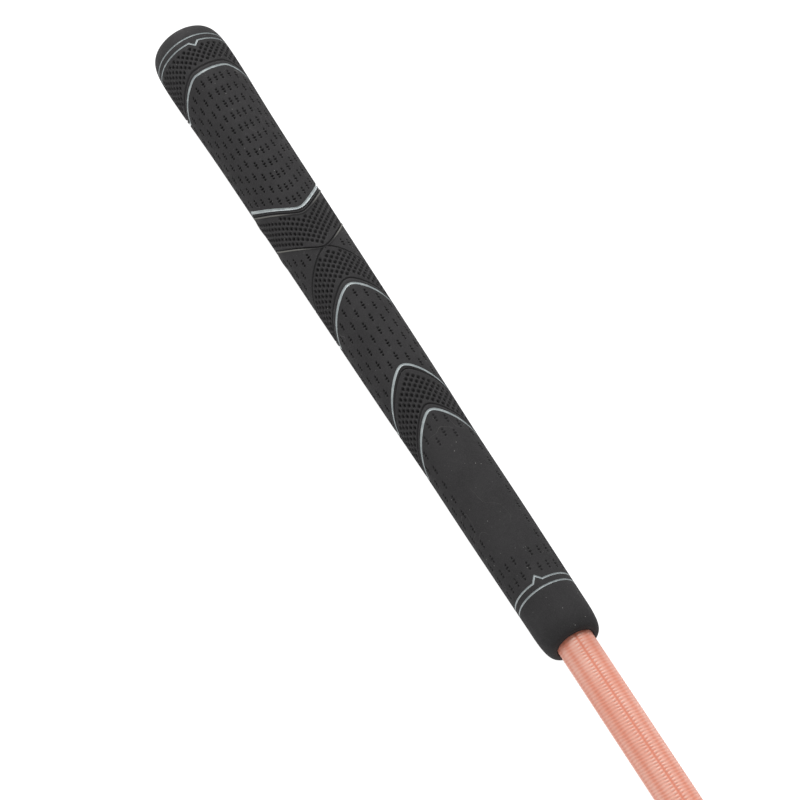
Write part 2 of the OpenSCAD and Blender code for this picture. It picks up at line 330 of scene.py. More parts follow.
def paint_material():
    """Silver-grey paint lying in a moulded groove, thinner in places."""
    s = Shader("line_paint_look", Metallic=0.15, Specular_IOR_Level=0.4)
    patch = s.between(s.noise(2.2, 4), 0.38, 0.66)
    base = s.blend(patch, rgb(0.36, 0.4, 0.41), rgb(0.5, 0.545, 0.55))
    worn = s.between(s.noise(0.55, 3, 0.7), 0.66, 0.74, 0, 0.75)
    s.feed("Base Color", s.blend(worn, base, rgb(0.16, 0.165, 0.165)))
    s.feed("Roughness", s.between(s.noise(0.7, 3), 0.3, 0.7, 0.36, 0.56))
    s.feed("Normal", s.bump(s.noise(0.25, 3), 0.03, 0.5))
    return s.material


def thread_material(name, light, deep, fibre_stretch):
    """Coral yarn: painted shade between the threads, paler tops, fine fibres and sheen."""
    s = Shader(
        name,
        Roughness=0.62,
        Specular_IOR_Level=0.3,
        Sheen_Weight=0.25,
        Sheen_Roughness=0.45,
        Sheen_Tint=rgb(1.0, 0.82, 0.76),
    )
    fibres = s.noise(0.5, 4, 0.6, fibre_stretch)
    top = s.blend(s.between(s.noise(14, 3), 0.35, 0.65, 0, 0.35), light, deep)
    top = s.blend(s.between(fibres, 0.35, 0.75, 0, 0.3), top, deep)
    # The relief values paint shade into the hollows and lighten the tops
    s.feed("Base Color", s.blend(s.between(s.value("relief"), 0, 0.85), deep, top))
    s.feed("Roughness", s.between(fibres, 0.3, 0.7, 0.5, 0.72))
    s.feed("Normal", s.bump(fibres, 0.05, 0.7))
    return s.material


def leather_material():
    """Black grained leather, smoother and paler where hands and edges rub it."""
    s = Shader("leather_look", Specular_IOR_Level=0.45)
    grain = s.cells(0.75, "DISTANCE_TO_EDGE")
    ridge = s.between(grain, 0.0, 0.22)
    tone = s.between(s.noise(7, 4), 0.35, 0.7)
    base = s.blend(tone, rgb(0.017, 0.015, 0.015), rgb(0.027, 0.024, 0.024))
    base = s.blend(s.between(ridge, 0, 1, 0.55, 0), base, rgb(0.008, 0.007, 0.007))
    rub = s.math("MULTIPLY", s.value("edge"), s.between(s.noise(0.9, 4, 0.7), 0.4, 0.7))
    base = s.blend(s.between(rub, 0, 1, 0, 0.5), base, rgb(0.07, 0.06, 0.056))
    s.feed("Base Color", base)
    s.feed("Roughness", s.between(s.noise(1.5, 4), 0.3, 0.7, 0.36, 0.54))
    pores = s.bump(ridge, 0.05, 0.7)
    s.feed("Normal", s.bump(s.noise(2.4, 3), 0.08, 0.5, pores))
    return s.material


def plain_material(name, dark, light, size, rough, depth, stretch=(1, 1, 1), **sockets):
    """A plain part's material: two tones in blotches or fibres, and a fine bump."""
    s = Shader(name, **sockets)
    pattern = s.noise(size, 4, 0.6, stretch)
    s.feed("Base Color", s.blend(s.between(pattern, 0.3, 0.7), dark, light))
    s.feed("Roughness", s.between(pattern, 0.3, 0.7, rough - 0.08, rough + 0.08))
    s.feed("Normal", s.bump(pattern, depth, 0.6))
    return s.material


def floor_material():
    """Pale studio floor that gives back a little light, so that shadows stay faint."""
    s = Shader("floor_look", Roughness=0.9, Specular_IOR_Level=0.1)
    blotch = s.between(s.noise(40, 3), 0.3, 0.7)
    s.feed("Base Color", s.blend(blotch, rgb(0.2, 0.2, 0.2), rgb(0.24, 0.24, 0.24)))
    s.shader.inputs["Emission Color"].default_value = rgb(1, 1, 1)
    s.shader.inputs["Emission Strength"].default_value = 1.0
    return s.material


# ---------------------------------------------------------------- the grip's pattern


def body_r(x):
    """Radius of the grip's body: an even taper, a soft swell near the butt and a slight waist."""
    taper = (BELLY_R - BELLY_SWELL - MOUTH_R) * (GRIP_LEN - x) / (GRIP_LEN - BELLY_X)
    swell = BELLY_SWELL * np.exp(-(((x - BELLY_X) / SWELL_LEN) ** 2))
    return MOUTH_R + taper + swell - WAIST * np.exp(-(((x - WAIST_X) / WAIST_LEN) ** 2))


def round_over(u, power):
    """Quarter of a superellipse: 0 at u = 0 and 1 at u = 1."""
    u = np.clip(u, 0, 1)
    return (1 - (1 - u) ** power) ** (1 / power)


def grip_r(x):
    """Outer radius of the plain grip, with its rounded butt and mouth."""
    butt = BUTT_FACE_R + (BELLY_R - BUTT_FACE_R) * round_over(x / BELLY_X, BUTT_POWER)
    round_start = GRIP_LEN - MOUTH_ROUND
    rounding = round_over((GRIP_LEN - x) / MOUTH_ROUND, MOUTH_POWER)
    mouth = LIP_R + (body_r(round_start) - LIP_R) * rounding
    return np.where(x < BELLY_X, butt, np.where(x > round_start, mouth, body_r(x)))


def roll(x):
    """Turn of the pattern at a distance from the butt."""
    early = ROLL_BUTT + (ROLL_MIDDLE - ROLL_BUTT) * x / ROLL_MIDDLE_X
    past_middle = (x - ROLL_MIDDLE_X) / (GRIP_LEN - ROLL_MIDDLE_X)
    late = ROLL_MIDDLE + (ROLL_MOUTH - ROLL_MIDDLE) * past_middle
    return np.where(x < ROLL_MIDDLE_X, early, late)


def fold(angle):
    """Angle from the middle of the nearer face, as the pattern is the same on both."""
    return (angle + 90) % 180 - 90


NOTCH_HALF_WIDTH = 1.6


class Line:
    """A line moulded round the grip, painted if it has a node.

    Its arms have an even slope in mm per degree past a flat part of some degrees, soft rounds
    the apex, and notch is the height of a small V on a ring. A depth below 0 is a raised edge.
    rows is how many rows of mesh lie between the line and the one before it.
    """

    def __init__(
        self,
        apex,
        rows,
        width,
        slope=0,
        soft=1,
        flat=0,
        notch=0,
        depth=LINE_DEPTH,
        node=None,
    ):
        self.apex, self.slope, self.soft, self.flat = apex, slope, soft, flat
        self.notch, self.half, self.depth, self.node = notch, width / 2, depth, node
        self.rows = rows
        self.notch_half = math.degrees(NOTCH_HALF_WIDTH / float(body_r(apex)))

    def at(self, angle):
        """Distance from the butt at an angle from the line's apex."""
        arm = np.maximum(np.abs(angle) - self.flat, 0)
        wave = self.slope * (np.sqrt(arm**2 + self.soft**2) - self.soft)
        peak = np.maximum(1 - np.abs(angle) / self.notch_half, 0)
        return self.apex + wave + self.notch * peak

    def x(self, turn):
        """Distance from the butt at a turn about the axis."""
        return self.at(fold(turn - roll(self.apex)))

    def spread(self, turn):
        """How much wider the line is along the axis than across itself."""
        step = 0.4
        angle = fold(turn - roll(self.apex))
        around = 2 * math.radians(step) * float(body_r(self.apex))
        rise = (self.at(angle + step) - self.at(angle - step)) / around
        return np.sqrt(1 + rise**2)

    def cut(self, x, turn):
        """Depth of the line's groove at points of the surface."""
        off = np.abs(x - self.x(turn)) / self.spread(turn)
        if self.node:
            return self.depth * smoothstep((self.half * 1.12 - off) / (self.half * 0.24))
        return self.depth * np.clip(1 - (off / self.half) ** 2, 0, 1) ** 0.8


# Arms that several lines share
BUTT_ARCH = {"slope": 0.145, "soft": 8, "flat": 24}
CHEVRON = {"slope": -0.185, "soft": 14}
CHEVRON_EDGE = {"slope": -0.183, "soft": 14}
ARCH = {"slope": 0.168, "soft": 12}
STEEP_ARCH = {"slope": 0.198, "soft": 12}

# Lines from butt to mouth: distance from the butt, rows of mesh before it, width, arms, depth, node
LINES = {
    "ring_1": Line(6.4, 3, RING_W, node="plain_ring_butt"),
    "ring_2": Line(9, 3, RING_W, notch=1.8, node="notched_ring_butt"),
    "groove_1": Line(20.1, 52, 0.8, **BUTT_ARCH, depth=0.32),
    "arch_1": Line(22.2, 1, ARCH_W, **BUTT_ARCH, node="arch_line_butt"),
    "chevron": Line(88.9, 236, CHEVRON_W, **CHEVRON, node="chevron_line"),
    "groove_2": Line(90.0, 0, 0.35, **CHEVRON, depth=0.16),
    "groove_3": Line(90.85, 0, 0.5, **CHEVRON, depth=0.32),
    "edge_2": Line(91.6, 0, 0.6, **CHEVRON, depth=-0.2),
    "groove_4": Line(106.8, 52, 0.55, **CHEVRON_EDGE, depth=0.36),
    "edge_3": Line(107.4, 0, 0.6, **CHEVRON_EDGE, depth=-0.18),
    "outer_arch": Line(107.2, 90, 0.6, slope=0.173, soft=10, depth=0.4),
    "groove_5": Line(121.8, 50, 0.6, **ARCH, depth=0.36),
    "arch_2": Line(124.2, 1, ARCH_W, **ARCH, node="arch_line_upper"),
    "arch_3": Line(160.1, 132, ARCH_W, **STEEP_ARCH, node="arch_line_lower"),
    "groove_6": Line(161.3, 1, 0.35, **STEEP_ARCH, depth=0.14),
    "groove_7": Line(161.9, 0, 0.55, **STEEP_ARCH, depth=0.34),
    "groove_8": Line(176.8, 52, 0.6, **STEEP_ARCH, depth=0.36),
    "arch_4": Line(179.1, 1, ARCH_W, **STEEP_ARCH, node="arch_line_mouth"),
    "ring_3": Line(248.9, 224, RING_W, notch=-2, node="notched_ring_mouth"),
    "ring_4": Line(251.4, 2, RING_W, node="plain_ring_mouth"),
}

# Rows of mesh across a line, as shares of its half width
GROOVE_ROWS = (-1.1, -0.9, -0.5, 0, 0.5, 0.9, 1.1)
COLUMNS = 360

# Rows of mesh over the butt's round, before the mouth's round and over it
BUTT_ROWS, LAST_ROWS, MOUTH_ROWS = 24, 12, 28
BUTT_ROWS_END = 5.2

# Fields of checker: the lines that bound each, rows round the grip, pitch, end margins
CHECKERS = (
    ("ring_2", "groove_1", 68, 2.6, (1.5, 1.5)),
    ("groove_3", "groove_4", 58, 2.4, (2.3, 1.5)),
    ("outer_arch", "groove_5", 56, 2.4, (1.5, 1.4)),
    ("groove_7", "groove_8", 52, 2.4, (1.4, 1.5)),
)
# Panels of dashes: the lines that bound each, angles of the rows on both sides of its middle,
# pitch, end margins, least length of a row, depth
PANELS = (
    ("arch_1", "chevron", (0, 10, 22.5, 35, 48, 60.5, 74, 87), 5.8, (4.5, 3.7), 0, 0.6),
    ("groove_4", "outer_arch", (33, 47, 60, 74, 87), 5, (6, 6), 8, 0.6),
    ("arch_2", "arch_3", (0, 17.2, 34.4, 51.6, 69, 86), 5.9, (3.9, 4), 0, 0.55),
)
LAST_PANEL = ("arch_4", "ring_3", (0, 17.3, 34.6, 51.9, 69.2, 86.5), 5.9, (3.4, 3.9), 0, 0.36)
# Depth of the checker's pits, and the strength of the painted shade in the pits, the dashes and the
# last panel's dashes
CHECKER_DEPTH, CHECKER_SHADE, DASH_SHADE, LAST_DASH_SHADE = 0.68, 0.6, 0.85, 0.55
# The smooth field in one face's last panel: its half width in degrees, and its ends
FIELD_HALF, FIELD_START, FIELD_END = 43, 190.5, 238


def pit(dx, dw, half_len, half_width):
    """Depth, from 0 to 1, of a smooth oval pit."""
    return np.clip(1 - (dx / half_len) ** 2 - (dw / half_width) ** 2, 0, 1) ** 0.7


def checker(x, turn, first, last, rows, pitch, margins):
    """Pits in staggered rows along the axis, between two lines."""
    step = 360 / rows
    middle = roll((first.apex + last.apex) / 2)
    row = np.round((turn - middle) / step)
    off_turn = turn - middle - row * step
    stagger = 0.5 * (row % 2)
    count = np.round((x - first.apex) / pitch - stagger)
    centre = first.apex + (count + stagger) * pitch
    row_turn = middle + row * step
    after_first = centre > first.x(row_turn) + margins[0]
    before_last = centre < last.x(row_turn) - margins[1]
    inside = after_first & before_last
    # The pit is deepest 0.3 mm before its place, steep towards the butt, with a ramp to the mouth
    dx = x - centre + 0.3
    dw = np.radians(off_turn) * body_r(x)
    diamond = (np.abs(dx) / np.where(dx < 0, 0.55, 1.25)) ** 1.4 + (np.abs(dw) / 0.72) ** 1.4
    return np.where(inside, smoothstep((1 - diamond) / 0.8), 0)


def dashes(x, turn, first, last, angles, pitch, margins, least):
    """Rows of short dashes, each of three pits, between two lines, and the dashes' places."""
    rows = np.array(sorted({sign * a for a in angles for sign in (-1, 1)}), float)
    angle = fold(turn - roll(x))
    row = rows[np.abs(angle[..., None] - rows).argmin(-1)]
    start = first.at(row) + margins[0]
    end = last.at(row) - margins[1]
    gaps = np.maximum(np.round((end - start) / pitch), 0)
    step = np.where(gaps > 0, (end - start) / np.maximum(gaps, 1), 1)
    number = np.clip(np.round((x - (start + end) / 2) / step + gaps / 2), 0, gaps)
    centre = (start + end) / 2 + (number - gaps / 2) * step
    dx = x - centre
    dw = np.radians(angle - row) * body_r(x)
    apart = 1.15
    outer = np.maximum(pit(dx - apart, dw, 0.4, 0.35), pit(dx + apart, dw, 0.4, 0.35))
    made = np.maximum(outer, pit(dx, dw, 0.33, 0.62))
    long_enough = last.at(row) - first.at(row) > least
    within = (x > first.x(turn)) & (x < last.x(turn))
    return np.where(long_enough & within, made, 0), centre


def pattern(x, turn):
    """Depth of the moulded pits at points of the grip's surface, and the painted shade in them."""
    pits = np.zeros(np.broadcast(x, turn).shape)
    dark = np.zeros_like(pits)
    for first, last, rows, pitch, margins in CHECKERS:
        made = checker(x, turn, LINES[first], LINES[last], rows, pitch, margins)
        pits = np.maximum(pits, CHECKER_DEPTH * made)
        dark = np.maximum(dark, CHECKER_SHADE * made**3)
    for first, last, angles, pitch, margins, least, depth in PANELS:
        made, _ = dashes(x, turn, LINES[first], LINES[last], angles, pitch, margins, least)
        pits = np.maximum(pits, depth * made)
        dark = np.maximum(dark, DASH_SHADE * smoothstep(made * 1.6))
    first, last, angles, pitch, margins, least, depth = LAST_PANEL
    made, centre = dashes(x, turn, LINES[first], LINES[last], angles, pitch, margins, least)
    from_face = (turn - roll(x) + 180) % 360 - 180
    field = (np.abs(from_face) < FIELD_HALF) & (centre > FIELD_START) & (centre < FIELD_END)
    made = np.where(field, 0, made)
    pits = np.maximum(pits, depth * made)
    return pits, np.maximum(dark, LAST_DASH_SHADE * smoothstep(made * 1.5))


def rows_between(start, end, count):
    """Evenly spaced rows between two rows, without them."""
    return [start + (end - start) * (k + 1) / (count + 1) for k in range(count)]


def grip_rows(turn):
    """Distance from the butt of every row of the grip's outside, at each column."""
    angles = np.radians(np.linspace(0, 62, BUTT_ROWS))
    # A superellipse's own angle spaces the rows of its round evenly
    q = np.sin(angles) ** (2 / BUTT_POWER)
    u = 1 - (1 - q**BUTT_POWER) ** (1 / BUTT_POWER)
    butt_x = BELLY_X * u
    rows = [np.full_like(turn, x) for x in butt_x[butt_x < BUTT_ROWS_END]]
    last = rows[-1]
    for name, line in LINES.items():
        middle = line.x(turn)
        if name == "outer_arch":  # kept clear of the groove that it runs into at its apex
            middle = np.maximum(middle, LINES["edge_3"].x(turn) + 1.6)
        reach = line.half * line.spread(turn)
        start = middle + GROOVE_ROWS[0] * reach
        rows += rows_between(last, start, line.rows)
        rows += [middle + offset * reach for offset in GROOVE_ROWS]
        last = rows[-1]
    round_start = np.full_like(turn, GRIP_LEN - MOUTH_ROUND)
    rows += rows_between(last, round_start, LAST_ROWS)
    angles = np.radians(np.linspace(90, 0, MOUTH_ROWS))
    u = 1 - np.cos(angles) ** (2 / MOUTH_POWER)
    rows += [np.full_like(turn, GRIP_LEN - MOUTH_ROUND * v) for v in u]
    return np.array(rows)


def turned_profile(profile, columns):
    """Radii and distances of a turned profile's rows, the same at every column."""
    radius, x = np.array(profile, float).T[:, :, None]
    return np.repeat(radius, columns, 1), np.repeat(x, columns, 1)


def make_grip(material):
    """The moulded sleeve: outside with its pattern, rounded lip, bore, cap and breather hole."""
    turn = np.arange(COLUMNS) * 360 / COLUMNS
    x = grip_rows(turn)
    turns = np.broadcast_to(turn, x.shape)
    cuts = np.zeros_like(x)
    raised = np.zeros_like(x)
    for line in LINES.values():
        depth = line.cut(x, turns)
        cuts = np.maximum(cuts, depth)
        raised = np.minimum(raised, depth)
    pits, pit_shade = pattern(x, turns)
    radius = grip_r(x) - np.maximum(cuts, pits) - raised
    # Painted shade: darker in the grooves and the pits
    dark = np.maximum(0.25 * smoothstep((cuts - 0.06) / 0.3), pit_shade)
    # Painted highlight: paler raised edges, away from each line's apex
    from_apex = np.abs(fold(turns - roll(x)))
    lit_edge = smoothstep((-raised - 0.05) / 0.05) * smoothstep((from_apex - 14) / 26)
    inner = [
        (SHAFT_R + 0.4, GRIP_LEN - 0.02),
        (SHAFT_R + 0.2, GRIP_LEN - 0.12),
        (SHAFT_R + 0.09, GRIP_LEN - 0.4),
        (SHAFT_R + 0.07, GRIP_LEN - 2.4),
        (BORE_R, GRIP_LEN - 2.9),
        (BORE_R, TUBE_END_X),
        (TUBE_BORE_END_R, TUBE_END_X),
        (TUBE_BORE_R, CAP_T),
        (VENT_R, CAP_T),
        (VENT_R, 0.5),
        (VENT_R + 0.12, 0.15),
        (VENT_R + 0.5, 0),
        (4, 0),
        (6.5, 0),
    ]
    inner_r, inner_x = turned_profile(inner, COLUMNS)
    points = place(np.vstack([x, inner_x]), turn, np.vstack([radius, inner_r]))
    blank = np.zeros_like(inner_r)
    values = {"dark": np.vstack([dark, blank]), "lit_edge": np.vstack([lit_edge, blank])}
    faces = quads(len(points), COLUMNS, wrap_rows=True, wrap_columns=True)
    grip = new_piece("moulded_grip", points, faces, values, sharp=60)
    finish_piece(grip, material, "shaft", ["grip_sleeve"])


def make_painted_line(name, line, material):
    """Paint lying in a line's groove: a band, slightly hollow on top, its edges in the rubber."""
    turn = np.arange(COLUMNS) * 360 / COLUMNS
    # Section as (offset across the line over its half width, depth below the grip's skin)
    section = [
        (-1.18, 0.07), (-0.95, 0.09), (-0.7, 0.17), (-0.38, 0.25), (0, 0.28), (0.38, 0.25),
        (0.7, 0.17), (0.95, 0.09), (1.18, 0.07), (1.18, 0.46), (0, 0.46), (-1.18, 0.46),
    ]
    reach = line.half * line.spread(turn)
    points = []
    for offset, depth in section:
        x = line.x(turn) + offset * reach
        points.append(place(x, turn, grip_r(x) - depth))
    faces = quads(len(section), COLUMNS, wrap_rows=True, wrap_columns=True)
    band = new_piece(f"paint_{name}", points, faces, sharp=50)
    finish_piece(band, material, "shaft", [line.node])


# ---------------------------------------------------------------- the thread cover

RIB_PITCH = 1.12
RIB_TILT = 2.2  # how far a rib leans back towards the butt, a quarter turn from the seam
SEAM_TURN = 7.6
RIB_START = 240  # inside the grip, which hides the cover's plain start
WALES = 10  # columns of loops round the shaft
SEAM_DEPTH, DIP_DEPTH, TEETH_HEIGHT = 0.16, 0.06, 0.04
RIB_SWING, TEETH_SWING = 0.04, 0.07


def shaft_radius(x):
    """Outer radius of the covered shaft."""
    return np.interp(x, [TAPER_X, TONGUE_X], [SHAFT_R, TIP_R])


def make_cover(material):
    """The knitted cover: leaning ribs, a sunk seam between two rows of teeth, painted shade and
    highlight.
    """
    columns, per_rib = 80, 4
    even = np.arange(columns) * 2 * math.pi / columns
    crowding = 0.5  # draws the columns of mesh towards the seam
    angle = np.degrees(even - crowding * np.sin(even))
    angle = (angle + 180) % 360 - 180
    steps = int((SHAFT_END - RIB_START) / RIB_PITCH * per_rib)
    base = RIB_START + np.arange(steps + 1) * RIB_PITCH / per_rib
    fade = smoothstep((base - RIB_START) / 14) * smoothstep((SHAFT_END - base) / 14)
    lean = RIB_TILT * (1 - np.cos(np.radians(angle)))
    # Half a rib's shift on one side of the seam, undone on the far side of the shaft
    shift = RIB_PITCH / 2 * smoothstep((angle + 4) / 8) * smoothstep((178 - angle) / 30)
    wobble = 0.1 * np.sin(0.9 * base[:, None] + angle[None, :] / 9)
    x = base[:, None] + fade[:, None] * (wobble + (shift - lean)[None, :])
    x = np.clip(x, RIB_START - 1, SHAFT_END)
    phase = 2 * math.pi * np.arange(steps + 1)[:, None] / per_rib
    seam = np.exp(-(((angle + 0.8) / 4) ** 2))
    teeth = np.exp(-((np.abs(np.abs(angle) - 8.8) / 5) ** 3))
    wale = 360 / WALES
    beside = (angle - 4 + wale / 2) % wale - wale / 2
    dip = np.where(np.abs(angle) < wale / 2, 0, np.exp(-((beside / 9.5) ** 2)))
    swing = RIB_SWING * (1 - seam) + TEETH_SWING * teeth
    relief = 0.5 + 0.5 * np.cos(phase)
    sunk = 0.05 + SEAM_DEPTH * seam + DIP_DEPTH * dip - TEETH_HEIGHT * teeth
    radius = shaft_radius(x) - sunk + swing * (2 * relief - 1)
    # Painted light: paler rib tops and teeth, painted shade in the valleys, the sunk seam and the
    # dips
    plain = 0.42 + 0.25 * relief - 0.33 * dip
    toothed = 1.2 * relief**0.8
    colour = (plain * (1 - teeth) + toothed * teeth) * (1 - 0.95 * seam)
    # Painted shadow of the grip's lip: darker colour close to the mouth, further along on one side
    shaded = 0.7 + 2.2 * smoothstep((angle - 5) / 30) * smoothstep((170 - angle) / 30)
    colour = colour * (0.25 + 0.75 * smoothstep((x - GRIP_LEN) / shaded[None, :]))
    colour = np.clip(colour, 0, 1)
    inner = [
        (TIP_R - COVER_T, SHAFT_END + 0.01),
        (TIP_R - COVER_T, TONGUE_X),
        (SHAFT_R - COVER_T, TAPER_X),
        (SHAFT_R - COVER_T, CAP_T),
        (SHAFT_R, CAP_T),
        (SHAFT_R - 0.15, RIB_START - 3),
    ]
    inner_r, inner_x = turned_profile(inner, columns)
    points = place(
        np.vstack([x, inner_x]), SEAM_TURN + angle, np.vstack([radius, inner_r])
    )
    relief_shading = np.vstack([colour, np.full_like(inner_r, 0.5)])
    faces = quads(len(points), columns, wrap_rows=True, wrap_columns=True)
    cover = new_piece("knitted_cover", points, faces, {"relief": relief_shading}, sharp=70)
    finish_piece(cover, material, "shaft", ["thread_cover"])


# ---------------------------------------------------------------- the keeper


def tube(route, radius, sides, taper=None):
    """Points and faces of a closed tube along a route, capped flat at both ends."""
    route = np.asarray(route, float)
    ahead = np.gradient(route, axis=0)
    ahead /= np.linalg.norm(ahead, axis=1)[:, None]
    side = np.cross(ahead, UP if abs(ahead[0] @ UP) < 0.9 else ALONG)
    for i in range(1, len(side)):  # carried along, so that the tube doesn't twist
        side[i] = side[i - 1] - ahead[i] * (side[i - 1] @ ahead[i])
        side[i] /= np.linalg.norm(side[i])
    side[0] /= np.linalg.norm(side[0])
    lift = np.cross(ahead, side)
    angle = np.arange(sides) * 2 * math.pi / sides
    size = radius * (np.ones(len(route)) if taper is None else taper)
    ring = (
        np.cos(angle)[None, :, None] * side[:, None, :]
        + np.sin(angle)[None, :, None] * lift[:, None, :]
    )
    points = route[:, None, :] + MM * size[:, None, None] * ring
    faces = [tuple(f) for f in quads(len(route), sides, wrap_columns=True)]
    faces.append(tuple(range(sides))[::-1])
    end = (len(route) - 1) * sides
    faces.append(tuple(range(end, end + sides)))
    return points.reshape(-1, 3), faces


def flap_axes():
    """Directions out along the resting flap and up from it."""
    half = LEAF_T + FILLER_T / 2
    corner = MM * math.hypot(FLAP_LEN, half)
    down = math.asin(BEND[2] / corner) - math.atan2(half, FLAP_LEN)
    out = np.array((math.cos(down), 0, -math.sin(down)))
    return out, np.cross(out, ACROSS)


FLAP_OUT, FLAP_UP = flap_axes()


def on_flap(u, y, z):
    """Points at u from the bend line along the flap, y across it and z above its middle."""
    u, y, z = np.broadcast_arrays(*(np.asarray(v, float) for v in (u, y, z)))
    return BEND + MM * (
        u[..., None] * FLAP_OUT + y[..., None] * ACROSS + z[..., None] * FLAP_UP
    )


def flap_half(u):
    """Half width of the flap at u from the bend line, before its corners."""
    widening = smoothstep((u - 7) / 15)
    return NECK_W / 2 + (FLAP_W / 2 - 1 - NECK_W / 2) * widening + np.clip(u / 40, 0, 1)


def flap_outline(u):
    """Half width of the flap with its rounded corners."""
    into = np.clip(u - (FLAP_LEN - CORNER_R), 0, CORNER_R)
    corner = FLAP_W / 2 - CORNER_R + np.sqrt(np.maximum(CORNER_R**2 - into**2, 0))
    return np.where(into > 0, corner, flap_half(u))


def from_edge(u, y):
    """Distance of points of the flap from its edge."""
    slope = (flap_half(u + 0.1) - flap_half(u - 0.1)) / 0.2
    side = (flap_half(u) - np.abs(y)) / np.sqrt(1 + slope**2)
    end = FLAP_LEN - u
    du = u - (FLAP_LEN - CORNER_R)
    dy = np.abs(y) - (FLAP_W / 2 - CORNER_R)
    corner = CORNER_R - np.hypot(np.maximum(du, 0), np.maximum(dy, 0))
    return np.where((du > 0) & (dy > 0), corner, np.minimum(side, end))


def slab(surface, inside):
    """Points and faces of a closed slab between two grids of points."""
    loop = np.concatenate([surface, inside[:, ::-1]], axis=1)
    rows, columns = loop.shape[:2]
    faces = [tuple(f) for f in quads(rows, columns, wrap_columns=True)]
    for row in (0, rows - 1):
        start = row * columns
        for k in range(columns // 2 - 1):
            a, b = start + k, start + k + 1
            c, d = start + columns - 2 - k, start + columns - 1 - k
            faces.append((a, b, c, d) if row else (d, c, b, a))
    return loop, faces


def bend_with_neck(piece):
    """Bakes a piece's placement into its mesh."""
    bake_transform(piece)


def strip_across(count):
    """Places from -1 to 1 across a strip, closer together towards its edges."""
    even = np.linspace(-1, 1, count)
    return 0.55 * np.sin(even * math.pi / 2) + 0.45 * even


def strip_tip(end):
    """Places along the last 4 mm of a strip, closer together towards its end."""
    return end - 4 * (1 - np.sin(np.linspace(0.08, 1, 13) * math.pi / 2))


def round_edge_of(v):
    """1 over the middle of a strip, falling to 0 at its edges."""
    return np.sqrt(1 - (1 - np.clip((1 - np.abs(v)) / 0.08, 0, 1)) ** 2)


def make_leather(name, side, material, nodes):
    """One leather strip: bound round the shaft's end, flat in the flap; side is 1 or -1."""
    bound = np.concatenate([[0, 0.4, 1, 2, 3.2, 4.6], np.linspace(6, 27, 15)])
    neck = np.linspace(28, 46, 31)
    flap = np.linspace(47, TONGUE_TO_END - 4, 44)
    u = np.concatenate([bound, neck, flap, strip_tip(TONGUE_TO_END)]) - (BEND_X - TONGUE_X)
    uu, vv = np.meshgrid(u, strip_across(61), indexing="ij")
    # Flat shape, in the flap's axes
    half = flap_outline(np.clip(uu, 0, FLAP_LEN))
    y = vv * half
    edge = np.where(uu > 0, from_edge(np.clip(uu, 0.1, FLAP_LEN), y), half * (1 - np.abs(vv)))
    round_edge = np.sqrt(1 - (1 - np.clip(edge / 0.9, 0, 1)) ** 2)
    channel = np.exp(-(((edge - SEAM_INSET) / 0.55) ** 2)) * smoothstep((uu - 19) / 4)
    crown = 0.12 * smoothstep(edge / 9) * smoothstep((uu - 14) / 10)
    top = FILLER_T / 2 + LEAF_T * (0.5 + 0.42 * round_edge) - 0.28 * channel + crown
    low = np.full_like(top, FILLER_T / 2)
    flat_top, flat_low = on_flap(uu, y, side * top), on_flap(uu, y, side * low)
    # Bound shape, round the shaft's end
    skive = smoothstep((uu + BEND_X - TONGUE_X) / 4.5)
    outer = TIP_R + 0.5 + (WHIP_R - TIP_R - 0.5) * skive
    outer = outer - 0.35 * (1 - round_edge_of(vv))
    wrap = vv * 88.5
    turn = -wrap if side > 0 else 180 + wrap
    bound_top = place(BEND_X + uu, turn, outer)
    bound_low = place(BEND_X + uu, turn, np.full_like(outer, TIP_R + 0.02))
    share = smoothstep((uu + 7) / 13)[..., None]
    surface = bound_top * (1 - share) + flat_top * share
    inside = bound_low * (1 - share) + flat_low * share
    loop, faces = slab(surface, inside)
    worn = np.exp(-np.clip(edge, 0, None) / 0.9)
    worn = np.concatenate([worn, worn[:, ::-1]], axis=1)
    piece = new_piece(name, loop, faces, {"edge": worn}, sharp=50)
    finish_piece(piece, material, nodes=nodes)
    bend_with_neck(piece)


def make_stiffener(material):
    """The undyed leather between the two strips."""
    start = -4
    neck = np.linspace(start, 14, 37)
    flap = np.linspace(15, FLAP_LEN - 4, 36)
    u = np.concatenate([neck, flap, strip_tip(FLAP_LEN)])[:, None]
    thinned = smoothstep(u / start)
    half = flap_outline(np.maximum(u, 0)) - 0.04 - 0.6 * thinned
    y = strip_across(31) * half
    thick = FILLER_T / 2 + 0.01 - 0.25 * thinned
    loop, faces = slab(on_flap(u, y, thick), on_flap(u, y, -thick))
    piece = new_piece("flap_stiffener", loop, faces, sharp=50)
    finish_piece(piece, material, nodes=["keeper_stiffener"])
    bend_with_neck(piece)


def make_binding(material):
    """Thread wound round the tongues, its ends tucked under."""
    start = TONGUE_X + (SHAFT_END - TONGUE_X - WHIP_TURNS * WHIP_D) / 2 + WHIP_D / 2
    per_turn, sides = 40, 12
    count = (WHIP_TURNS - 1) * per_turn + 21
    k = np.arange(count)
    turn = k * 360 / per_turn
    x = start + WHIP_D * k / per_turn
    tuck = smoothstep(k / 7) * smoothstep((count - 1 - k) / 7)
    radius = WHIP_R + 0.35 * WHIP_D - 0.75 * (1 - tuck)
    points, faces = tube(place(x, turn, radius), WHIP_D / 2, sides)
    relief = np.full(count * sides, 0.75)
    piece = new_piece("wound_binding", points, faces, {"relief": relief})
    finish_piece(piece, material, "shaft", ["keeper_binding"])


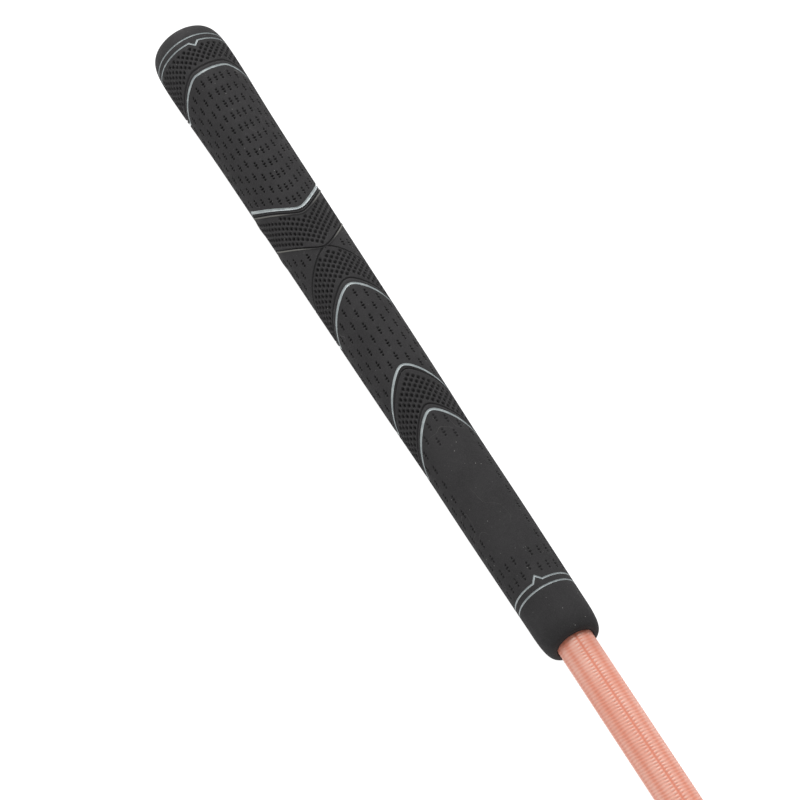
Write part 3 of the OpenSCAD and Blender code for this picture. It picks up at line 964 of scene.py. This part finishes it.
def seam_path():
    """Points and directions, one per stitch, along the seam from one side to the other."""
    side_start = 24
    inset_corner = CORNER_R - SEAM_INSET
    half_end = FLAP_W / 2 - CORNER_R
    arc = np.radians(np.arange(0, 90, 1.0))
    side_u = np.arange(side_start, FLAP_LEN - CORNER_R, 0.1)
    corner_u = FLAP_LEN - CORNER_R + inset_corner * np.sin(arc)
    end_y = np.linspace(half_end, 0, 91)
    end_u = np.full_like(end_y, FLAP_LEN - SEAM_INSET)
    u = np.concatenate([side_u, corner_u, end_u])
    corner_y = half_end + inset_corner * np.cos(arc)
    y = np.concatenate([flap_half(side_u) - SEAM_INSET, corner_y, end_y])
    route = np.stack([u, y], 1)
    route = np.concatenate([route, route[-2::-1] * (1, -1)])
    run = np.concatenate([[0], np.cumsum(np.linalg.norm(np.diff(route, axis=0), axis=1))])
    count = int(run[-1] / STITCH_PITCH)
    middle = (np.arange(count) + 0.5) * run[-1] / count

    def along(distance):
        return np.stack([np.interp(distance, run, route[:, i]) for i in (0, 1)], 1)

    ahead = along(middle + 0.3) - along(middle - 0.3)
    return along(middle), ahead / np.linalg.norm(ahead, axis=1)[:, None]


def make_stitching(material):
    """Separate slanted stitches on both faces of the flap, their ends sunk in the leather."""
    points, faces, relief = [], [], []
    slant = math.radians(11)
    spots, ahead = seam_path()
    channel = FILLER_T / 2 + LEAF_T * 0.92 - 0.28
    sides = 10
    s = np.linspace(-1, 1, 15)
    reach = 0.55 * STITCH_LEN * s
    rise = 0.2 * (1 - s**4) - 0.55 * np.abs(s) ** 9
    for face in (-1, 1):
        for (u, y), (du, dy) in zip(spots, ahead):
            along_u = du * math.cos(slant) - face * dy * math.sin(slant)
            along_y = face * du * math.sin(slant) + dy * math.cos(slant)
            route = on_flap(u + along_u * reach, y + along_y * reach, face * (channel + rise))
            made, own = tube(route, THREAD_D / 2, sides, 1 - 0.25 * np.abs(s) ** 6)
            base = sum(len(p) for p in points)
            points.append(made)
            faces += [tuple(base + i for i in f) for f in own]
            # Painted shade towards each stitch's sunk ends, paler over its raised middle
            relief.append(np.repeat(0.55 + 0.35 * (1 - s**2), sides))
    values = {"relief": np.concatenate(relief)}
    piece = new_piece("seam_stitches", np.concatenate(points), faces, values)
    finish_piece(piece, material, "keeper", ["keeper_stitching"])


# ---------------------------------------------------------------- camera, light and floor

# Degrees, then the lens in mm and the distance in metres
CAMERA_AZIMUTH, CAMERA_ELEVATION = 62.09, 53.33
CAMERA_LENS, CAMERA_DISTANCE = 143.56, 1.0025
# The place of the crop's axis that it looks at, in mm from the butt, and the camera's own shift
# to the right and up, in metres
AIM_X, AIM_RIGHT, AIM_UP = 163.3, -0.00303, -0.00278
WORLD_STRENGTH = 0.38
LIGHT_AZIMUTH, LIGHT_DISTANCE = -94, 2.5
FLOOR_R = 4.0


def view_axes(azimuth, elevation):
    """Right, up and back of a camera; azimuth 0 looks along +Y."""
    a, e = math.radians(azimuth), math.radians(elevation)
    right = np.array((math.cos(a), math.sin(a), 0))
    back = np.array((math.sin(a) * math.cos(e), -math.cos(a) * math.cos(e), math.sin(e)))
    return right, np.cross(back, right), back


def turned_to(right, up, back):
    """Rotation whose columns are the given axes."""
    return Matrix([list(row) for row in zip(right, up, back)]).to_quaternion()


def make_camera():
    """The scene's camera."""
    right, up, back = view_axes(CAMERA_AZIMUTH, CAMERA_ELEVATION)
    data = bpy.data.cameras.new("camera")
    data.lens = CAMERA_LENS
    data.clip_start, data.clip_end = 0.05, 50
    camera = bpy.data.objects.new("camera", data)
    bpy.context.scene.collection.objects.link(camera)
    aim = place(AIM_X, 0, 0)
    camera.location = aim + AIM_RIGHT * right + AIM_UP * up + CAMERA_DISTANCE * back
    camera.rotation_mode = "QUATERNION"
    camera.rotation_quaternion = turned_to(right, up, back)
    bpy.context.scene.camera = camera


def make_light(name, elevation, size, power):
    """A soft square light that looks at the crop from its butt's end."""
    right, up, back = view_axes(LIGHT_AZIMUTH, elevation)
    data = bpy.data.lights.new(name, "AREA")
    data.shape, data.size, data.energy = "SQUARE", size, power
    light = bpy.data.objects.new(name, data)
    light.location = place(AIM_X, 0, 0) + LIGHT_DISTANCE * back
    light.rotation_mode = "QUATERNION"
    light.rotation_quaternion = turned_to(right, up, back)
    bpy.context.scene.collection.objects.link(light)


def make_studio():
    """Pale surroundings, two soft lights and a pale floor."""
    scene = bpy.context.scene
    scene.view_settings.view_transform = "Standard"
    world = bpy.data.worlds.new("studio")
    world.use_nodes = True
    background = world.node_tree.nodes["Background"]
    background.inputs["Color"].default_value = rgb(1, 1, 1)
    background.inputs["Strength"].default_value = WORLD_STRENGTH
    scene.world = world
    make_light("key", 60, 1.33, 42)
    make_light("rim", 15, 1, 34)
    make_floor()


def make_floor():
    """A flat round floor, its faces smaller towards the crop."""
    rings, spokes = 12, 96
    radius = FLOOR_R * (np.arange(1, rings + 1)[:, None] / rings) ** 1.5
    angle = np.arange(spokes) * 2 * math.pi / spokes
    x, y = radius * np.cos(angle), radius * np.sin(angle)
    points = np.stack([x, y, np.zeros_like(x)], -1)
    faces = [tuple(f)[::-1] for f in quads(rings, spokes, wrap_columns=True)]
    faces.append(tuple(range(spokes)))
    floor = new_piece("studio_floor", points, faces)
    if floor.data.polygons[0].normal.z < 0:
        floor.data.flip_normals()
    floor.data.materials.append(floor_material())


# ---------------------------------------------------------------- the whole crop


def paint_node(node, material):
    """Gives a carried-over CAD node a material of this scene."""
    for held in frame["nodes"][node].material_slots:
        held.material = material


def paint_inner_nodes():
    """Materials of the parts that the grip and the cover hide."""
    tape = plain_material(
        "tape_look", rgb(0.62, 0.56, 0.4), rgb(0.74, 0.69, 0.53), 1.2, 0.8, 0.05
    )
    plastic = plain_material(
        "tube_look", rgb(0.05, 0.05, 0.05), rgb(0.09, 0.09, 0.09), 0.8, 0.45, 0.02, (0.2, 1, 1)
    )
    glass_fibre = plain_material(
        "rod_look", rgb(0.7, 0.66, 0.5), rgb(0.84, 0.82, 0.7), 0.5, 0.3, 0.02, (0.05, 1, 1)
    )
    wrapping = plain_material(
        "padding_look", rgb(0.62, 0.59, 0.53), rgb(0.8, 0.78, 0.73), 0.6, 0.9, 0.08, (2, 0.4, 0.4)
    )
    paint_node("grip_tape", tape)
    paint_node("handle_tube", plastic)
    paint_node("core_rod", glass_fibre)
    paint_node("shaft_padding", wrapping)


def build():
    """Makes the camera, the studio and every piece."""
    make_camera()
    make_studio()
    make_grip(rubber_material())
    paint = paint_material()
    for name, line in LINES.items():
        if line.node:
            make_painted_line(name, line, paint)
    coral, deep_coral = rgb(0.97, 0.65, 0.55), rgb(0.76, 0.23, 0.14)
    make_cover(thread_material("cover_thread_look", coral, deep_coral, (3, 0.4, 0.4)))
    binding = thread_material(
        "binding_thread_look", rgb(0.72, 0.3, 0.22), rgb(0.5, 0.15, 0.09), (3, 0.5, 0.5)
    )
    make_binding(binding)
    leather = leather_material()
    make_leather("upper_leather", 1, leather, ["upper_tongue", "keeper_upper_leaf"])
    make_leather("lower_leather", -1, leather, ["lower_tongue", "keeper_lower_leaf"])
    sewing = thread_material(
        "sewing_thread_look", rgb(0.78, 0.34, 0.25), rgb(0.55, 0.17, 0.1), (1, 1, 1)
    )
    make_stitching(sewing)
    paint_inner_nodes()
    undyed = plain_material(
        "stiffener_look", rgb(0.16, 0.08, 0.04), rgb(0.3, 0.17, 0.09), 0.5, 0.7, 0.06, (0.6, 0.6, 2)
    )
    make_stiffener(undyed)


build()
